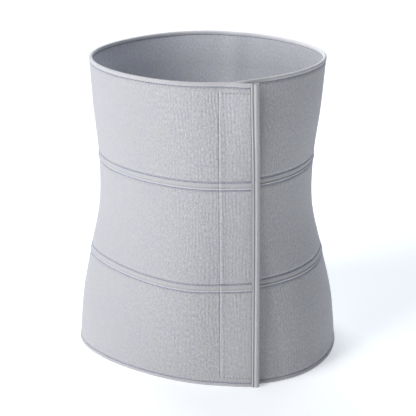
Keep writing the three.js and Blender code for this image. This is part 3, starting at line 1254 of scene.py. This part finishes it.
@dataclass
class StitchLine:
    """A line of small sewn stitches on the cloth: tapered capsules in the wrap's coordinates."""

    name: str
    wrap: Wrap
    run: Run
    start: float
    end: float
    steady: float | Callable[[Array], Array]
    depth: float
    pitch: float = 2.9 * MM
    length: float = 3.0 * MM
    width: float = 0.75 * MM
    height: float = 0.5 * MM
    stray: float = 0.16 * MM
    stray_cell: float = 11 * MM
    stray_along: float = 0.12 * MM
    stray_aside: float = 0.05 * MM
    stretch: tuple[float, float] = (-0.12, 0.08)
    sides: int = 5
    rings: tuple[float, ...] = (-0.85, -0.4, 0.4, 0.85)
    girths: tuple[float, ...] = (0.55, 1.0, 1.0, 0.55)
    relief: Callable[[Array, Array], Array] | None = None
    slant: float = 0.0
    seed: int = 5
    look: Look = Look.THREAD
    tone: float = 1.0

    def capsule(self) -> tuple[Array, Array, Array, Array]:
        """One stitch: rings of points between two poles, on axes that run from -1 to 1.

        Returns:
            Places along the stitch, to its side and up from it, and its triangles.
        """
        sides = self.sides
        angles = np.arange(sides) * 2 * math.pi / sides + math.pi / 2
        travel = np.concatenate([[-1], np.repeat(self.rings, sides), [1]])
        side = np.concatenate([[0], np.outer(self.girths, np.cos(angles)).ravel(), [0]])
        rise = np.concatenate([[0], np.outer(self.girths, np.sin(angles)).ravel(), [0]])
        k = np.arange(sides)
        ahead = (k + 1) % sides
        last = 1 + (len(self.rings) - 1) * sides
        faces = [np.stack([np.zeros(sides, int), 1 + ahead, 1 + k], -1)]
        for here in range(1, last, sides):
            there = here + sides
            faces.append(np.stack([here + k, here + ahead, there + ahead], -1))
            faces.append(np.stack([here + k, there + ahead, there + k], -1))
        faces.append(np.stack([np.full(sides, last + sides), last + k, last + ahead], -1))
        return travel, side, rise, np.concatenate(faces)

    def parts(self) -> tuple[Array, Array, Array]:
        """All the stitches of the line: the capsule moved along it, each a little out of place.

        Returns:
            Points, triangles and the UV of each point.
        """
        travel, side, rise, triangles = self.capsule()
        count = int((self.end - self.start) / self.pitch)
        middle = self.start + (np.arange(count) + 0.5) * (self.end - self.start) / count
        draw = np.random.default_rng(self.seed)
        middle = middle + draw.normal(0, self.stray_along, count)
        slow = LatticeNoise(self.seed, self.stray_cell, 1).read(middle, np.zeros(count))
        wander = self.stray * slow + draw.normal(0, self.stray_aside, count)
        stretch = 1 + draw.uniform(*self.stretch, count)
        forward = middle[:, None] + travel * self.length / 2 * stretch[:, None]
        sideways = wander[:, None] + side * self.width / 2 + self.slant * travel
        out = self.depth + rise * self.height / 2
        steady = self.steady(forward) if callable(self.steady) else self.steady
        if self.run is Run.ROUND:
            along, level = forward, steady + sideways
        else:
            along, level = steady + sideways, forward
        if self.relief is not None:
            out = out + self.relief(along, level)
        points = self.wrap.place(along, level, np.broadcast_to(out, along.shape)).reshape(-1, 3)
        faces = triangles[None] + len(travel) * np.arange(count)[:, None, None]
        uvs = np.stack([along, level], -1).reshape(-1, 2)
        return points, faces.reshape(-1, 3), uvs

    def build(self) -> bpy.types.Object:
        """Makes the line one piece.

        Returns:
            The dressed piece.
        """
        points, faces, uvs = self.parts()
        faces = facing_out(points, faces)
        made = make_mesh(self.name, points, faces, uvs, MATERIALS[self.look], self.tone)
        return dress(made, "seam_cloth")


@dataclass
class Binder:
    """The whole binder, built from its sub-assemblies in order."""

    wrap: Wrap = field(default_factory=Wrap)
    top_stitch: float = 3.9 * MM
    hem_stitch: float = 4.1 * MM
    thread_sink: float = 0.02 * MM
    thread_stop: float = 0.4 * MM
    seam_thread: float = 1.5
    top_thread: float = 1.2
    # Painted light on the inside of the top binding and of its inside stitches
    rim_inside_tone: float = 1.45
    dash_start: float = 2.2 * MM
    dash_stop: float = 0.8 * MM
    dash_rise: float = 0.9 * MM
    side_lead: float = 0.5 * MM
    sheet_lengths: tuple[float, float, float] = (0.79, 0.72, 0.69)

    def build(self) -> None:
        cloth = Cloth(self.wrap)
        names = ("lower_panel", "waist_panel", "upper_panel")
        levels = (0, LOWER_SEAM, UPPER_SEAM, HEIGHT)
        panels = [
            Panel(name, low, high, self.wrap, cloth).build()
            for name, low, high in zip(names, levels, levels[1:])
        ]
        bands = [
            SeamBand("lower_seam_band", LOWER_SEAM, self.wrap, cloth).build(),
            SeamBand("upper_seam_band", UPPER_SEAM, self.wrap, cloth).build(),
        ]
        # Each fold carries a painted highlight on its bead and ridge and painted shade in its groove
        rim = {
            "width": RIM_WIDTH, "bulge": 0.45 * MM, "bead": 1.9 * MM, "shoulder": 2.8 * MM,
            "groove": 0.22 * MM, "dark_groove": 0.06,
        }
        top = Fold(stitch=self.top_stitch, pale_bead=0.13, **rim)
        hem = Fold(stitch=self.hem_stitch, pale_bead=0.05, **rim)
        end = Fold(
            width=END_WIDTH, bulge=1.15 * MM, bead=3.6 * MM, shoulder=4.8 * MM, stitch=5.2 * MM,
            groove=0.45 * MM, pale_bead=0.06, dark_groove=0.3, ridge=0.5 * MM,
        )
        bindings = [
            RimBinding("hem_binding", False, self.wrap, hem).build(),
            RimBinding("top_binding", True, self.wrap, top, self.rim_inside_tone).build(),
            EndBinding("flap_end_binding", True, self.wrap, end).build(),
            EndBinding("under_end_binding", False, self.wrap, end).build(),
        ]
        tape = HookTape(self.wrap).build()
        stitches = [line.build() for line in self.thread_lines(cloth) + self.tape_lines(cloth)]
        extras = (
            [bands[0], bindings[0], *stitches[:2], *stitches[4:6]],
            [*bindings[2:], tape, *stitches[8:]],
            [bands[1], bindings[1], *stitches[2:4], *stitches[6:8]],
        )
        heights = (high - low for low, high in zip(levels, levels[1:]))
        for panel, length, height, extra in zip(panels, self.sheet_lengths, heights, extras):
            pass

    def thread_lines(self, cloth: Cloth) -> list[StitchLine]:
        """The navy lines of stitches: two on each seam and one on each face of both rims.

        Args:
            cloth: The cloth's relief, which the stitches follow.

        Returns:
            The lines, not yet built.
        """
        first, last = END_WIDTH + self.thread_stop, self.wrap.length - END_WIDTH - self.thread_stop
        top = HEIGHT - self.top_stitch
        rows = [
            (f"{seam}_seam_stitches_{side}", level + step, -self.thread_sink, self.seam_thread)
            for seam, level in (("lower", LOWER_SEAM), ("upper", UPPER_SEAM))
            for side, step in (("low", -SEAM_STITCH), ("high", SEAM_STITCH))
        ]
        rows += [
            ("hem_stitches_outside", self.hem_stitch, 0.0, self.seam_thread),
            ("hem_stitches_inside", self.hem_stitch, -WALL, 1.0),
            ("top_stitches_outside", top, 0.0, self.top_thread),
            ("top_stitches_inside", top, -WALL, self.rim_inside_tone),
        ]
        return [
            StitchLine(
                name, self.wrap, Run.ROUND, first, last, level, depth,
                seed=30 + number, relief=cloth.tape, tone=tone,
            )
            for number, (name, level, depth, tone) in enumerate(rows)
        ]

    def tape_lines(self, cloth: Cloth) -> list[StitchLine]:
        """The grey lines of stitches on three sides of the hook tape: slanted dashes and a fine line.

        Args:
            cloth: The cloth's relief, which knows the tape's edges.

        Returns:
            The lines, not yet built.
        """
        low, high = cloth.tape_inset, HEIGHT - cloth.tape_inset
        hem_start = cloth.tape_edge(low) + self.dash_start
        top_start = cloth.tape_edge(high) + self.dash_start
        stop = self.wrap.length - END_WIDTH - self.dash_stop

        def top_level(along: Array) -> Array:
            """Level of the dashes along the tape's top, which climb to the flap's end."""
            return high + self.dash_rise * ease(along, top_start, stop)

        def side_place(level: Array) -> Array:
            """How far round the wrap the stitches up the tape's side lie, just outside its edge."""
            return cloth.tape_edge(level) - self.side_lead

        grey = {"look": Look.GREY_THREAD}
        dashes = {"pitch": 2.8 * MM, "length": 1.6 * MM, "slant": 0.45 * MM, **grey}
        fine = {"pitch": 2.0 * MM, "length": 1.35 * MM, "width": 0.6 * MM, **grey}
        wrap = self.wrap
        return [
            StitchLine(
                "tape_stitches_top", wrap, Run.ROUND, top_start, stop, top_level, 0.25 * MM,
                seed=51, **dashes,
            ),
            StitchLine(
                "tape_stitches_hem", wrap, Run.ROUND, hem_start, stop, low, 0.3 * MM,
                seed=52, **dashes,
            ),
            StitchLine(
                "tape_stitches_side", wrap, Run.UPRIGHT, low, high, side_place, -0.25 * MM,
                seed=53, **fine,
            ),
        ]


@dataclass(frozen=True)
class Lamp:
    """A square soft light aimed at the binder's middle."""

    name: str
    place: tuple[float, float, float]
    side: float
    watts: float
    color: tuple[float, float, float] = (1, 1, 1)

    def hang(self) -> None:
        """Makes the light and turns it to face the middle of the binder."""
        data = bpy.data.lights.new(self.name, "AREA")
        data.shape = "SQUARE"
        data.size = self.side
        data.energy = self.watts
        data.color = self.color
        made = bpy.data.objects.new(self.name, data)
        made.location = self.place
        aim = np.array([0, 0, HEIGHT / 2]) - np.array(self.place)
        tilt = math.atan2(math.hypot(aim[0], aim[1]), -aim[2])
        made.rotation_euler = (tilt, 0, math.atan2(aim[1], aim[0]) - math.pi / 2)
        bpy.context.scene.collection.objects.link(made)


REAR_COLOR = (0.91, 0.955, 1)
LAMPS = (
    Lamp("key", (-1.95, -1.15, 1.8), 1.2, 55),
    Lamp("rear_right", (1.0, 1.2, 1.8), 1.0, 8, REAR_COLOR),
    Lamp("rear_middle", (0.2, 1.5, 2.2), 1.0, 13, REAR_COLOR),
    Lamp("rear_left", (-0.6, 1.2, 2.2), 1.0, 19, REAR_COLOR),
)


@dataclass
class Studio:
    """The floor, the lights and the camera, whose focal length is given in pixels of the frame."""

    floor_half: float = 30.0
    near_half: float = 1.7
    far_half: float = 3.2
    floor_glow: float = 0.4
    far_glow: float = 0.8
    floor_color: tuple[float, float, float] = (0.93, 0.95, 0.975)
    floor_roughness: float = 0.9
    glow_color: tuple[float, float, float] = (0.95, 0.975, 1)
    world_color: tuple[float, float, float] = (0.93, 0.96, 1)
    world_strength: float = 0.03
    focal_pixels: float = 1455.8
    frame_pixels: float = 416
    sensor: float = 36.0
    eye: tuple[float, float, float] = (0.00047, -1.33078, 0.7445)
    pitch_down: float = 24.25

    def build(self) -> None:
        """Lays the floor, hangs the lights, sets the pale surroundings and places the camera."""
        self.lay_floor()
        for lamp in LAMPS:
            lamp.hang()
        world = bpy.context.scene.world or bpy.data.worlds.new("surroundings")
        bpy.context.scene.world = world
        world.use_nodes = True
        background = world.node_tree.nodes["Background"]
        background.inputs["Color"].default_value = (*self.world_color, 1)
        background.inputs["Strength"].default_value = self.world_strength
        bpy.context.scene.view_settings.view_transform = "Standard"
        self.place_camera()

    def lay_floor(self) -> None:
        """Lays a pale floor: a grid of three rings whose glow rises from the near to the far one."""
        material = bpy.data.materials.new("pale_floor")
        material.use_nodes = True
        shader = material.node_tree.nodes["Principled BSDF"]
        shader.inputs["Base Color"].default_value = (*self.floor_color, 1)
        shader.inputs["Roughness"].default_value = self.floor_roughness
        shader.inputs["Emission Color"].default_value = (*self.glow_color, 1)
        glow = material.node_tree.nodes.new("ShaderNodeAttribute")
        glow.attribute_name = "tone"
        material.node_tree.links.new(glow.outputs["Fac"], shader.inputs["Emission Strength"])
        marks = np.array([self.near_half, self.far_half, self.floor_half])
        marks = np.concatenate([-marks[::-1], marks])
        x, y = (values.ravel() for values in np.meshgrid(marks, marks, indexing="ij"))
        points = np.stack([x, y, np.zeros(x.size)], -1)
        side = len(marks)
        corner = (np.arange(side - 1)[:, None] * side + np.arange(side - 1)).ravel()
        faces = np.stack([corner, corner + side, corner + side + 1, corner + 1], -1)
        is_near = np.maximum(np.abs(x), np.abs(y)) <= self.near_half
        strengths = np.where(is_near, self.floor_glow, self.far_glow)
        make_mesh("floor", points, faces, points[:, :2], material, strengths)

    def place_camera(self) -> None:
        """Makes the camera, pitched down from the level, and makes it the scene's."""
        data = bpy.data.cameras.new("camera")
        data.sensor_width = self.sensor
        data.lens = self.focal_pixels / self.frame_pixels * self.sensor
        camera = bpy.data.objects.new("camera", data)
        camera.location = self.eye
        camera.rotation_euler = (math.radians(90 - self.pitch_down), 0, 0)
        bpy.context.scene.collection.objects.link(camera)
        bpy.context.scene.camera = camera


def main() -> None:
    """Makes the materials, the binder and the studio, in that order."""
    logging.basicConfig(level=logging.INFO, format="%(message)s")
    for look in Look:
        MATERIALS[look] = look.value.material()
    Binder().build()
    Studio().build()


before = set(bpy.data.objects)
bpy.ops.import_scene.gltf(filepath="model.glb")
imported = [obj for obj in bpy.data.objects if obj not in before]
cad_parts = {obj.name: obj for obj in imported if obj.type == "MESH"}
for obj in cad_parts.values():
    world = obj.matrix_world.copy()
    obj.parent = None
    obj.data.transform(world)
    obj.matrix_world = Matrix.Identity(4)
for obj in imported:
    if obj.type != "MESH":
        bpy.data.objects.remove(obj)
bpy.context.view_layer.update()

if __name__ == "__main__":
    main()
